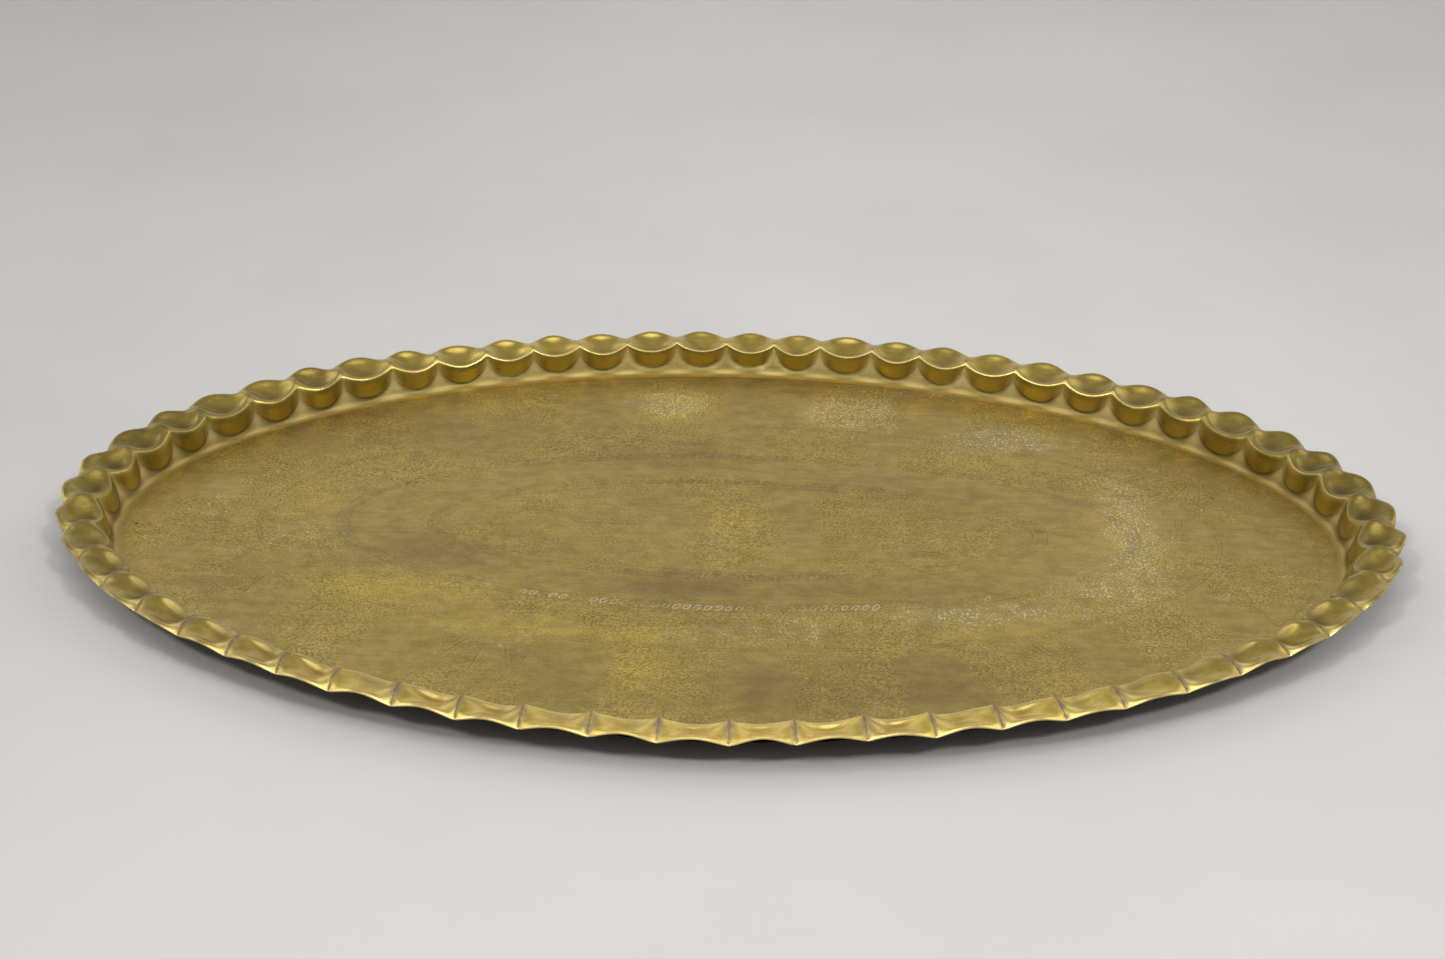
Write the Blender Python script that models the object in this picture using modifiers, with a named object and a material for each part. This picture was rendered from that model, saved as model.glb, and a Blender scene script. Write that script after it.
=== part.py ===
"""Large oval brass tray with a pie-crust rim, raised from one sheet.

The sheet runs from a flat well through a short cove into a wall of scallops, over
a crest, and out into a flange whose cut edge dips between the scallops. Metres, +Z
up, X along the tray, and the flat underside of the well at z = 0.
"""

import math

import bmesh
import bpy
import numpy as np

SHEET = 0.0012                      # thickness of the brass
SCALLOPS = 58                       # round the whole rim
NOTCH_HALF_LENGTH = 0.4687          # oval through the notches of the cut edge
NOTCH_HALF_WIDTH = 0.2856
OVAL_SQUARENESS = 0.0071            # fuller shoulders than a true ellipse has
FIRST_NOTCH = 0.767                 # of a scallop, going round from the tray's +X end
STEPS_PER_SCALLOP = 6
WELL_RINGS = (0.7, 0.35)            # rings of the flat well, as shares of its edge

# Each row of the rim, from the cut edge to the well, as millimetres outside the
# notch oval and millimetres above the underside. The four pairs are the notch and
# the middle of a scallop on the long sides, then the same two at the tray's ends.
# The last number is the scallop's roundness: 1 is a sine arch, less is fuller.
RIM_ROWS = (
    ((0.0, 20.0), (1.0, 25.2), (0.0, 22.9), (3.6, 27.9), 1.0),         # cut edge
    ((-12.6, 24.9), (-13.4, 19.9), (-10.4, 28.8), (-12.5, 21.6), 1.0),  # flange's hollow
    ((-20.5, 24.1), (-23.3, 17.9), (-22.0, 24.8), (-27.4, 21.4), 0.8),  # crest
    ((-21.5, 21.8), (-24.9, 10.6), (-24.2, 20.4), (-30.4, 11.8), 0.55),  # wall
    ((-22.5, 18.9), (-26.1, 5.2), (-25.8, 15.6), (-31.6, 4.4), 0.5),   # foot of the wall
    ((-26.4, 8.9), (-29.0, 2.9), (-29.8, 6.8), (-33.2, 2.4), 0.75),    # web between walls
    ((-32.6, 1.75), (-33.2, 1.5), (-34.8, 1.7), (-35.6, 1.5), 1.0),    # cove
    ((-37.0, 1.2), (-37.0, 1.2), (-38.4, 1.2), (-38.4, 1.2), 1.0),     # edge of the well
)


def clear_scene():
    """Removes what the file opened with."""
    for item in list(bpy.context.scene.objects):
        bpy.data.objects.remove(item, do_unlink=True)


def new_collection(name):
    """A collection of the scene, made if it isn't there."""
    found = bpy.data.collections.get(name)
    if found is None:
        found = bpy.data.collections.new(name)
        bpy.context.scene.collection.children.link(found)
    return found


def brass():
    """Polished brass with a little tarnish."""
    material = bpy.data.materials.new("brass")
    material.use_nodes = True
    shader = material.node_tree.nodes["Principled BSDF"]
    shader.inputs["Base Color"].default_value = (0.45, 0.33, 0.10, 1.0)
    shader.inputs["Metallic"].default_value = 1.0
    shader.inputs["Roughness"].default_value = 0.35
    return material


def notch_oval(samples=7200):
    """Points of the oval through the notches, at even angles."""
    turn = np.linspace(0.0, 2.0 * math.pi, samples + 1)
    fullness = 1.0 + OVAL_SQUARENESS * np.cos(4.0 * turn)
    x = NOTCH_HALF_LENGTH * np.cos(turn) * fullness
    y = NOTCH_HALF_WIDTH * np.sin(turn) * fullness
    return x, y


def stations():
    """Even steps round the oval: place, outward direction, scallop phase, endness."""
    x, y = notch_oval()
    along = np.concatenate([[0.0], np.cumsum(np.hypot(np.diff(x), np.diff(y)))])
    count = SCALLOPS * STEPS_PER_SCALLOP
    phase = np.arange(count) / STEPS_PER_SCALLOP
    at = (phase + FIRST_NOTCH) / SCALLOPS % 1.0 * along[-1]
    place = np.stack([np.interp(at, along, x), np.interp(at, along, y)], axis=1)
    tangent = np.roll(place, -1, axis=0) - np.roll(place, 1, axis=0)
    outward = np.stack([tangent[:, 1], -tangent[:, 0]], axis=1)
    outward /= np.linalg.norm(outward, axis=1, keepdims=True)
    turn = np.arctan2(place[:, 1] / NOTCH_HALF_WIDTH, place[:, 0] / NOTCH_HALF_LENGTH)
    return place, outward, phase, np.cos(turn) ** 2


def rim_row(row, place, outward, phase, endness):
    """One closed ring of the rim."""
    side_notch, side_middle, end_notch, end_middle = np.array(row[:4]) / 1000.0
    arch = np.abs(np.sin(math.pi * phase))[:, None] ** row[4]
    ends = endness[:, None]
    notch = side_notch * (1.0 - ends) + end_notch * ends
    middle = side_middle * (1.0 - ends) + end_middle * ends
    out_and_up = notch * (1.0 - arch) + middle * arch
    ring = place + outward * out_and_up[:, :1]
    return np.column_stack([ring, out_and_up[:, 1]])


def tray_surface():
    """The upper face of the sheet as an open mesh, facing up."""
    place, outward, phase, endness = stations()
    rings = [rim_row(row, place, outward, phase, endness) for row in RIM_ROWS]
    well_edge = rings[-1]
    for share in WELL_RINGS:
        rings.append(well_edge * [share, share, 1.0])
    mesh = bmesh.new()
    loops = [[mesh.verts.new(point) for point in ring] for ring in rings]
    count = len(place)
    for outer, inner in zip(loops, loops[1:]):
        for i in range(count):
            j = (i + 1) % count
            mesh.faces.new((outer[i], outer[j], inner[j], inner[i]))
    mesh.faces.new(loops[-1])
    return mesh


def build_tray():
    """The whole tray: one sheet, thickened below its upper face."""
    collection = new_collection("brass_tray")
    surface = tray_surface()
    data = bpy.data.meshes.new("tray_sheet")
    surface.to_mesh(data)
    surface.free()
    tray = bpy.data.objects.new("tray_sheet", data)
    collection.objects.link(tray)
    tray.data.materials.append(brass())
    thickness = tray.modifiers.new("sheet thickness", "SOLIDIFY")
    thickness.thickness = SHEET
    thickness.offset = -1.0
    return tray


def main():
    clear_scene()
    build_tray()


main()
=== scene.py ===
"""Looks of the oval brass tray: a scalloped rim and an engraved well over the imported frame."""
from math import atan2, cos, pi, radians, sin, tau

import bpy
import numpy as np
from mathutils import Matrix, Vector
from mathutils.geometry import delaunay_2d_cdt
from numpy.linalg import norm


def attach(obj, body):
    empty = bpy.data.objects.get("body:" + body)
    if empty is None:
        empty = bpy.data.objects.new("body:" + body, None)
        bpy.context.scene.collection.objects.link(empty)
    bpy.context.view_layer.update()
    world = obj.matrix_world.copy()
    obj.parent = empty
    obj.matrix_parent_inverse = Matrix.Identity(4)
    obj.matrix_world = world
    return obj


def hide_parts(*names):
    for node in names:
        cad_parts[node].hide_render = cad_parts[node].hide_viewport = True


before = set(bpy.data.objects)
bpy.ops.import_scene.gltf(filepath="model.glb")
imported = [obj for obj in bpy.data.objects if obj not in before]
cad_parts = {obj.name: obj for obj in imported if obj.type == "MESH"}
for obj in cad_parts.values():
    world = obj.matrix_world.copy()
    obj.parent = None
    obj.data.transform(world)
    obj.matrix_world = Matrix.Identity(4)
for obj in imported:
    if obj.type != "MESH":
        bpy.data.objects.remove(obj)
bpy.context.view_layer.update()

# ---------------- driving sizes
NODE = "tray_sheet"
MM = 0.001
SHEET = 1.2 * MM
SCALLOPS = 58
NOTCH_HALF_LENGTH = 468.7 * MM
NOTCH_HALF_WIDTH = 285.6 * MM
OVAL_SQUARENESS = 0.0071
COLUMNS_PER_SCALLOP = 32
ROWS_PER_STEP = 4
RIM_ARCS = 8
FIRST_NOTCH = 0.767                 # of a pitch, going round from the tray's +X end
ABOVE_FLOOR = 0.1 * MM              # the lowest that the looks go

# Rows of the rim's upper face, from the cut edge (row 0) to the flat of the well, as
# (millimetres outside the notch oval, millimetres up) pairs: at a notch and at
# mid-scallop on the long sides, then the same at the ends. Then how pointed the notch
# is (1 is a plain arch, less is fuller) and how wide its flat is, on the sides and at
# the ends. Rows 2 to 4 are the dished pad, 5 and 6 the crest, 7 to 10 the steep wall
# under each scallop, and 10 to 13 the web between two of those walls.
RIM_ROWS = (
    ((0.0, 20.0), (1.0, 25.2), (0.0, 22.9), (3.6, 27.9), 1.15, 0.03, 0.05),
    ((-1.6, 21.0), (-0.7, 25.7), (-1.5, 24.2), (1.8, 28.3), 1.15, 0.05, 0.08),
    ((-6.6, 23.4), (-5.6, 22.6), (-5.5, 27.0), (-4.5, 24.2), 1.2, 0.14, 0.14),
    ((-12.6, 24.9), (-13.4, 19.2), (-10.4, 28.8), (-12.5, 21.0), 1.15, 0.17, 0.18),
    ((-17.4, 25.3), (-18.2, 17.4), (-15.0, 28.6), (-19.5, 20.4), 1.0, 0.10, 0.2),
    ((-19.2, 25.1), (-21.0, 18.3), (-19.0, 27.0), (-24.0, 21.6), 0.85, 0.05, 0.24),
    ((-20.5, 24.1), (-23.3, 18.1), (-22.0, 24.8), (-27.2, 21.4), 0.78, 0.04, 0.24),
    ((-21.1, 23.0), (-24.3, 14.6), (-23.4, 22.6), (-29.4, 17.4), 0.60, 0.03, 0.2),
    ((-21.5, 21.8), (-24.9, 10.6), (-24.2, 20.4), (-30.4, 11.8), 0.50, 0.03, 0.16),
    ((-21.9, 20.6), (-25.4, 6.9), (-24.9, 18.2), (-31.0, 6.8), 0.45, 0.03, 0.14),
    ((-22.4, 19.2), (-26.0, 5.2), (-25.8, 15.8), (-31.5, 4.4), 0.45, 0.04, 0.14),
    ((-23.6, 15.4), (-26.8, 4.0), (-27.2, 11.8), (-32.0, 3.2), 0.52, 0.05, 0.14),
    ((-25.6, 9.6), (-28.0, 2.9), (-29.4, 7.0), (-32.6, 2.4), 0.72, 0.08, 0.14),
    ((-28.0, 4.6), (-29.6, 2.0), (-31.6, 3.5), (-33.4, 1.8), 1.0, 0.15, 0.15),
    ((-31.0, 1.7), (-31.6, 1.45), (-34.0, 1.6), (-34.8, 1.45), 1.0, 0.2, 0.2),
    ((-35.6, 1.2), (-35.6, 1.2), (-37.4, 1.2), (-37.4, 1.2), 1.0, 0.2, 0.2),
)
PAD_ROWS = (2, 3, 4)
LAST_UNEVEN_ROW = 12                # hand-made differences fade out over the 4 before it
# The near side's scallops are flatter between the cut edge and the crest (millimetres).
NEAR_LIFT = (0.0, 0.1, 0.9, 0.9, 0.2, 0.0) + (0.0,) * 10
# At the near corners each scallop swells beside one fold and is hollow beside the other.
SKEW = 0.2
SWELL = (0.0, 0.0, 0.2, 1.2, 3.0, 5.0, 5.4, 4.0, 2.0, 1.0) + (0.0,) * 6
# At the left end the folds were pushed over, clockwise, by this much at the crest.
LEAN = 5.0 * MM
ROW_LEAN = (0.0, 0.1, 0.45, 0.8, 1.0, 1.0, 1.0, 0.95, 0.9, 0.85, 0.8, 0.6, 0.4, 0.2) + (0.0,) * 2


# ---------------- the rim's form
def stations():
    """Columns round the oval, in pitches, closer together at the notches."""
    part = np.arange(COLUMNS_PER_SCALLOP) / COLUMNS_PER_SCALLOP
    part = part - 0.55 * np.sin(tau * part) / tau
    return (np.arange(SCALLOPS)[:, None] + part[None, :]).ravel()


def walk(points):
    """The length of a path, and a function from a distance along it to a point."""
    step = norm(np.diff(points, axis=0), axis=1)
    along = np.concatenate([[0.0], np.cumsum(step)])

    def at(distance):
        return np.stack([np.interp(distance, along, points[:, k]) for k in (0, 1)], 1)

    return along[-1], at


def on_oval(phase):
    """Plan points on the oval, the way out of it, and how near each is to an end."""
    turn = np.linspace(0.0, tau, 14401)
    fullness = 1.0 + OVAL_SQUARENESS * np.cos(4.0 * turn)
    x = NOTCH_HALF_LENGTH * np.cos(turn) * fullness
    y = NOTCH_HALF_WIDTH * np.sin(turn) * fullness
    length, at = walk(np.stack([x, y], 1))
    middle = ((phase + FIRST_NOTCH) / SCALLOPS) % 1.0 * length
    step = length * 2e-4
    tangent = at((middle + step) % length) - at((middle - step) % length)
    outward = np.stack([tangent[:, 1], -tangent[:, 0]], axis=1)
    outward /= norm(outward, axis=1, keepdims=True)
    place = at(middle)
    return place, outward, np.cos(angle_round(place)) ** 2


def angle_round(place):
    """The angle of each plan point round the oval, 0 at the tray's +X end."""
    return np.arctan2(place[:, 1] / NOTCH_HALF_WIDTH, place[:, 0] / NOTCH_HALF_LENGTH)


def arch(phase, fullness, flat):
    """0 at a notch and 1 at mid-scallop, with a notch that is flat over that width."""
    rise = np.sin(pi * phase) ** 2 + flat ** 2
    low = flat ** fullness
    high = (1.0 + flat ** 2) ** (fullness / 2.0)
    return (rise ** (fullness / 2.0) - low) / (high - low)


def at_notches(rng, size, phase):
    """A hand-made difference at each notch, eased from one to the next."""
    values = rng.uniform(-size, size, SCALLOPS)
    index = np.floor(phase).astype(int) % SCALLOPS
    part = phase - np.floor(phase)
    ease = part * part * (3.0 - 2.0 * part)
    return values[index] * (1.0 - ease) + values[(index + 1) % SCALLOPS] * ease


def at_middles(rng, size, phase):
    """A hand-made difference at the middle of each scallop, and none at the notches."""
    values = rng.uniform(-size, size, SCALLOPS)
    return values[np.floor(phase).astype(int) % SCALLOPS] * np.sin(pi * phase) ** 2


def notch_distance(phase):
    """How far from the nearest notch, in pitches."""
    return np.abs((phase + 0.5) % 1.0 - 0.5)


def pressed_width(phase):
    """Each fold was pressed flat by hand, some wide and some narrow."""
    width = np.random.default_rng(7).uniform(0.55, 1.35, SCALLOPS)
    return width[np.round(phase).astype(int) % SCALLOPS]


def slanting(place):
    """0 but at the two near corners: above 0 at the left one and below 0 at the right."""
    turn = angle_round(place)
    return -np.cos(turn) * np.clip(-2.0 * np.sin(turn), 0.0, 1.0)


def bell(value, middle, reach):
    """1 at the middle, falling to nothing about two reaches away."""
    return np.exp(-((value - middle) / reach) ** 2)


def ramp(value, start, length):
    """0 until the start and 1 from the end of the length, which may go down."""
    return np.clip((value - start) / length, 0.0, 1.0)


def rim_grid():
    """Upper-face points, rows by columns by 3."""
    phase = stations()
    rng = np.random.default_rng(58)
    place, outward, ends = on_oval(phase + at_notches(rng, 0.045, phase))
    notch_up = at_notches(rng, 0.7, phase)
    notch_out = at_notches(rng, 0.8, phase)
    middle_up = at_middles(rng, 0.7, phase)
    middle_out = at_middles(rng, 0.7, phase)
    hollow = at_middles(rng, 0.8, phase)
    pressed = pressed_width(phase)
    ends = ends ** 0.7
    near_side = np.clip(-outward[:, 1], 0.0, 1.0) * np.sin(pi * phase) ** 2
    slant = slanting(place)
    bow = np.sin(pi * (phase - np.floor(phase)))
    skewed = phase - SKEW * slant * bow
    swell = slant ** 2 * np.sin(pi * (phase + 0.25 * np.sign(slant) * bow)) ** 2
    rows = []
    for number, (side_n, side_m, end_n, end_m, fullness, *flats) in enumerate(RIM_ROWS):
        near = ends[:, None]
        flat = flats[0] + (flats[1] - flats[0]) * ends
        if number in PAD_ROWS:
            flat = flat * pressed
        rise = arch(skewed if 2 <= number <= 6 else phase, fullness, flat)[:, None]
        notch = np.array(side_n) * (1.0 - near) + np.array(end_n) * near
        middle = np.array(side_m) * (1.0 - near) + np.array(end_m) * near
        row = notch * (1.0 - rise) + middle * rise
        free = min(1.0, max(0.0, (LAST_UNEVEN_ROW - number) / 4.0))
        row[:, 0] += (notch_out + middle_out) * free
        row[:, 1] += (notch_up + middle_up) * free
        if number in PAD_ROWS:
            row[:, 1] += hollow
        row[:, 1] += near_side * NEAR_LIFT[number] + swell * SWELL[number]
        if number in PAD_ROWS[:2]:      # a crease along the middle of each fold
            row[:, 1] -= 0.45 * bell(notch_distance(phase), 0.0, 0.02)
        rows.append(row)
    fine = smooth_rows(np.array(rows))
    left = np.clip(-place[:, 0] / NOTCH_HALF_LENGTH, 0.0, 1.0)
    lean = np.interp(np.linspace(0.0, 1.0, len(fine)),
                     np.linspace(0.0, 1.0, len(RIM_ROWS)), ROW_LEAN)
    clockwise = np.stack([outward[:, 1], -outward[:, 0]], axis=1)
    plan = place[None] + outward[None] * fine[..., :1] * MM
    plan += clockwise[None] * (lean[:, None] * left[None])[..., None] * LEAN
    return np.concatenate([plan, fine[..., 1:] * MM], axis=2)


def smooth_rows(rows):
    """A smooth curve through each column's row points."""
    span = norm(np.diff(rows, axis=0), axis=2).mean(axis=1)
    slope = np.diff(rows, axis=0) / span[:, None, None]
    tangent = np.empty_like(rows)
    weight = (span[:-1] / (span[:-1] + span[1:]))[:, None, None]
    tangent[1:-1] = slope[:-1] * (1.0 - weight) + slope[1:] * weight
    tangent[0] = slope[0]
    tangent[-1] = slope[-1]
    out = []
    for i in range(len(rows) - 1):
        for k in range(ROWS_PER_STEP):
            t = k / ROWS_PER_STEP
            begin = rows[i] * (1 + 2 * t) * (1 - t) ** 2
            leave = tangent[i] * span[i] * t * (1 - t) ** 2
            end = rows[i + 1] * t * t * (3 - 2 * t)
            arrive = tangent[i + 1] * span[i] * t * t * (t - 1)
            out.append(begin + leave + end + arrive)
    out.append(rows[-1])
    return np.array(out)


def grid_normals(grid):
    """Normals of a grid that closes round its columns, rows running inwards."""
    around = np.roll(grid, -1, axis=1) - np.roll(grid, 1, axis=1)
    across = np.gradient(grid, axis=0)
    normal = np.cross(around, across)
    normal /= norm(normal, axis=2, keepdims=True) + 1e-12
    return normal * np.sign(normal[-1, :, 2].mean())


def smooth_piece(name, points, faces, values, material):
    """A smooth mesh whose faces all have as many corners, with a value at each point."""
    mesh = bpy.data.meshes.new(name)
    mesh.vertices.add(len(points))
    mesh.vertices.foreach_set("co", points.ravel())
    mesh.loops.add(faces.size)
    mesh.loops.foreach_set("vertex_index", faces.ravel())
    mesh.polygons.add(len(faces))
    mesh.polygons.foreach_set("loop_start", np.arange(len(faces)) * faces.shape[1])
    mesh.update(calc_edges=True)
    mesh.polygons.foreach_set("use_smooth", np.ones(len(faces), bool))
    for key, value in values.items():
        layer = mesh.attributes.new(key, "FLOAT", "POINT")
        layer.data.foreach_set("value", value.astype(np.float32))
    mesh.materials.append(material)
    piece = bpy.data.objects.new(name, mesh)
    bpy.context.scene.collection.objects.link(piece)
    return piece


def grid_piece(name, parts, attributes, material):
    """One piece from grids of points with their normals. Columns don't close."""
    points, faces, normals, values = [], [], [], {key: [] for key in attributes[0]}
    base = 0
    for (grid, normal, flip), extra in zip(parts, attributes):
        rows, columns = grid.shape[:2]
        points.append(grid.reshape(-1, 3))
        index = np.arange(rows * columns).reshape(rows, columns) + base
        quad = [index[:-1, :-1], index[:-1, 1:], index[1:, 1:], index[1:, :-1]]
        quad = np.stack(quad, axis=2).reshape(-1, 4)
        faces.append(quad[:, ::-1] if flip else quad)
        normals.append(normal.reshape(-1, 3))
        for key, value in values.items():
            value.append(np.broadcast_to(extra[key], (rows, columns)).ravel())
        base += rows * columns
    values = {key: np.concatenate(value) for key, value in values.items()}
    piece = smooth_piece(name, np.concatenate(points), np.concatenate(faces), values, material)
    piece.data.normals_split_custom_set_from_vertices(np.concatenate(normals).tolist())
    return piece


def rim_fields(edge, rows, phase):
    """What the rim's material needs to know all over the upper face, by name.

    The row runs through RIM_ROWS, and distances along the rim are in pitches.
    """
    row = np.linspace(0.0, len(RIM_ROWS) - 1.0, rows)[:, None]
    away = notch_distance(phase)
    turn = angle_round(edge)
    side = np.sin(turn)
    near = np.clip(-side, 0.0, 1.0)
    slant = slanting(edge)
    corner = np.abs(slant)

    # The flat of each pressed fold, and the crease along its middle.
    tongue = np.clip(1.0 - np.abs(row - 2.9) / 2.7, 0.0, 1.0) ** 0.7
    width = 0.085 * tongue * (pressed_width(phase) * (1.0 - 0.2 * corner)) + 1e-4
    facet = np.clip(1.6 - notch_distance(phase - 0.03 * corner) / width, 0.0, 1.0)
    facet = facet * (tongue > 0.02) * np.clip(0.45 - 0.9 * side, 0.22, 1.0)
    crease = np.clip(1.5 - away / 0.012, 0.0, 1.0) * (tongue > 0.1)
    crease = crease * np.clip(0.5 - 0.8 * side + 0.3 * np.cos(turn), 0.15, 1.0)

    # The painted highlight on the flank beside a fold at the near corners, and the tarnished
    # hollow, which at the near corners is also a painted dark reflection.
    flank = bell(notch_distance(phase + 0.15 * np.sign(slant)), 0.0, 0.09) * corner
    flank = flank * bell(row, 1.7, 1.2)
    stain_and_dark_reflection = np.maximum(0.5 + 0.5 * np.cos(turn) ** 2 - 0.15 * near, 1.2 * corner)
    dish = np.sin(pi * (phase - 0.13 * slant)) ** 2
    hollow = bell(row, 3.8 + 0.7 * corner, 1.25) * dish ** 1.5 * stain_and_dark_reflection
    # Painted light and shade: the rim is lighter on the near side and darker at the ends, a little
    # dimmer at the near corners, and lifted where the flanks have their painted highlight.
    painted_light = 0.43 + 0.31 * side ** 2 + 0.36 * near
    painted_light = painted_light * (1.0 - 0.22 * corner) + 0.75 * flank
    # The crest and the lip, rubbed bright and given a painted highlight, less of it at the ends.
    crest = (bell(row, 5.4, 0.7) + bell(row, 0.3, 0.5)) * (0.3 + 0.7 * np.abs(side))
    crest = np.clip(crest + flank, 0.0, 1.2)

    # The notch between two walls, and a dark line along the foot and sides of a wall.
    valley = bell(away, 0.0, 0.14) * ramp(row, 6.5, 1.5) * ramp(row, 13.0, -1.5)
    foot = bell(row, 10.0, 0.45) * np.abs(np.sin(pi * phase)) ** 0.5
    foot = foot + 0.5 * bell(away, 0.2, 0.07) * bell(row, 8.5, 1.4)
    wall = ramp(row, 6.0, 1.0) * ramp(row, 11.0, -1.0)
    fields = dict(facet=facet, hollow=hollow, valley=valley, foot=foot, crest=crest,
                  wall=wall, crease=crease, web=ramp(row, 9.4, 1.2),
                  seam=ramp(row, 12.4, 1.3), painted_light=painted_light, under=0.0)
    return {key: np.broadcast_to(value, (rows, len(phase))) for key, value in fields.items()}


def build_rim(material):
    """The rim in arcs, and the inner edge of its upper and lower faces."""
    grid = rim_grid()
    normal = grid_normals(grid)
    below = grid - normal * SHEET
    below[..., 2] = np.maximum(below[..., 2], ABOVE_FLOOR)
    rows, columns = grid.shape[:2]
    fields = rim_fields(grid[0], rows, stations())
    # The lower face gets no painted light; the material paints it near-black as shade.
    lower = dict.fromkeys(fields, 0.0) | {"under": 1.0, "painted_light": 1.0}
    lower_rows = np.append(np.arange(0, rows - 1, 3), rows - 1)
    pieces = []
    for arc in range(RIM_ARCS):
        start, stop = arc * columns // RIM_ARCS, (arc + 1) * columns // RIM_ARCS
        pick = np.arange(start, stop + 1) % columns
        top = grid[:, pick]
        under = below[lower_rows][:, pick]
        outward = top[0] - top[1]
        outward /= norm(outward, axis=1, keepdims=True)
        parts = [(top, normal[:, pick], False),
                 (np.stack([top[0], under[0]]), np.stack([outward, outward]), True),
                 (under, -normal[lower_rows][:, pick], True)]
        upper = {key: value[:, pick] for key, value in fields.items()}
        lip = {key: value[:1] for key, value in upper.items()}
        pieces.append(grid_piece(f"rim_{arc + 1}", parts, [upper, lip, lower], material))
    return pieces, grid[-1], below[-1]


# ---------------- the engraving
# Everything here is in millimetres, in plan. Every cut is a V, tapered unless closed.
MIDDLE = np.array((8.0, 2.0))       # of the medallion and the two borders
MEDALLION = (219.0, 68.0)           # middle of its chain border
BORDER = (285.0, 109.0)             # middle of the outer chain border
FOLIAGE_EDGE = (345.0, 160.0)       # the double line outside the foliage band
CLUSTER_RING = (388.0, 203.0)       # where the clusters of the outer field are
FIELD = (427.0, 245.0)              # no cut goes beyond this, about the tray's centre
CENTRE = (0.0, 0.0)
LINK = 7.1                          # from one chain link to the next
# The clusters' places, in degrees round the well.
CLUSTERS = (20.6, 38.0, 56.0, 75.0, 97.0, 116.5, 137.5, 155.5, 183.0, 207.0, 226.5, 246.0,
            265.0, 282.5, 301.5, 321.0, 343.5)
CUT_DEPTH = 0.14                    # of an ordinary cut
STEP = 0.6                          # how finely a cut's path is followed
CELLS = 2.0                         # to the millimetre, in the map of used ground
MAP_HALF = np.array((500.0, 310.0))

# Where white polish has dried in the cuts, and where the metal is lighter and yellower
# (above 0) or browner (below 0): x, y, reach along x, reach along y, strength.
POLISH = (
    (-52, 198, 34, 26, 0.9), (92, 192, 42, 28, 0.9), (212, 148, 60, 26, 0.75),
    (292, 20, 28, 85, 0.75), (250, -70, 45, 30, 0.45), (165, -108, 70, 18, 0.6),
    (45, -135, 48, 20, 0.45), (-30, -142, 26, 12, 0.4), (-300, -20, 26, 42, 0.4),
    (-245, 85, 45, 26, 0.25), (-335, -152, 42, 16, 0.5), (-250, -168, 32, 14, 0.35),
    (182, 232, 62, 12, 0.45), (-155, -162, 32, 16, 0.3), (-372, 30, 26, 50, 0.4),
    (20, -230, 120, 12, 0.2), (-160, 215, 30, 22, 0.25), (330, -150, 40, 24, 0.25),
)
TONES = (
    (-50, 195, 34, 34, 1.0), (78, 192, 27, 34, 0.9), (-232, -92, 80, 20, 0.9),
    (-125, -138, 75, 15, 0.9), (-45, -185, 24, 42, 0.8), (180, -128, 55, 22, 0.5),
    (285, 30, 26, 90, 0.55), (2, 15, 24, 30, 0.6), (-300, 20, 26, 42, 0.5),
    (200, 112, 75, 26, 0.4), (-90, -10, 70, 30, 0.3), (-195, -42, 42, 22, -0.9),
    (-25, -82, 70, 17, -1.0), (60, -200, 60, 24, -0.9), (150, -188, 60, 26, -0.8),
    (-335, -95, 55, 34, -0.7), (330, 95, 55, 42, -0.5), (120, 62, 75, 28, -0.5),
    # The browner patch at (0, 262), along the far edge, is painted shade.
    (-60, 118, 75, 30, -0.6), (-300, 150, 90, 36, -0.8), (0, 262, 300, 22, -1.0),
    (120, -75, 60, 14, -0.5),
)


def uneven(x, y, size, seed):
    """Smooth unevenness with features of about that size, between -1 and 1."""
    rng = np.random.default_rng(seed)
    total = 0.0
    for _ in range(6):
        angle = rng.uniform(0.0, tau)
        pitch = size * rng.uniform(0.7, 1.6)
        shift = rng.uniform(0.0, tau)
        across = x * cos(angle) + y * sin(angle)
        total = total + np.sin(across * tau / pitch + shift)
    return total / 3.2


def patches(points, spots):
    """The sum of soft round patches at some plan points."""
    total = np.zeros(len(points))
    for x, y, along, across, strength in spots:
        far = ring_measure(points, (along, across), (x, y))
        total += strength * np.exp(-0.8 * far ** 2)
    return total


def resample(points, count):
    """That many points, evenly spaced along the path."""
    length, at = walk(points)
    return at(np.linspace(0.0, length, count))


def path_length(points):
    return norm(np.diff(points, axis=0), axis=1).sum()


def longest_run(free):
    """First and last-plus-one index of the longest stretch of True."""
    edge = np.flatnonzero(np.diff(np.concatenate([[0], free.astype(int), [0]])))
    if len(edge) == 0:
        return 0, 0
    starts, stops = edge[0::2], edge[1::2]
    best = np.argmax(stops - starts)
    return starts[best], stops[best]


def ring_measure(points, axes, middle=MIDDLE):
    """1 on the ellipse, less inside it."""
    x, y = points[..., 0] - middle[0], points[..., 1] - middle[1]
    return np.hypot(x / axes[0], y / axes[1])


def circle(count):
    """Points round a circle of radius 1, the last on the first."""
    turn = np.linspace(0.0, tau, count)
    return np.stack([np.cos(turn), np.sin(turn)], 1)


def ellipse(axes, middle=MIDDLE):
    return middle + circle(721) * axes


def grown(axes, by):
    return axes[0] + by, axes[1] + by


def placed(points, at, angle):
    """The points turned by the angle and moved to that place."""
    turn = np.array(((cos(angle), -sin(angle)), (sin(angle), cos(angle))))
    return np.asarray(at) + np.asarray(points, float) @ turn.T


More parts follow.
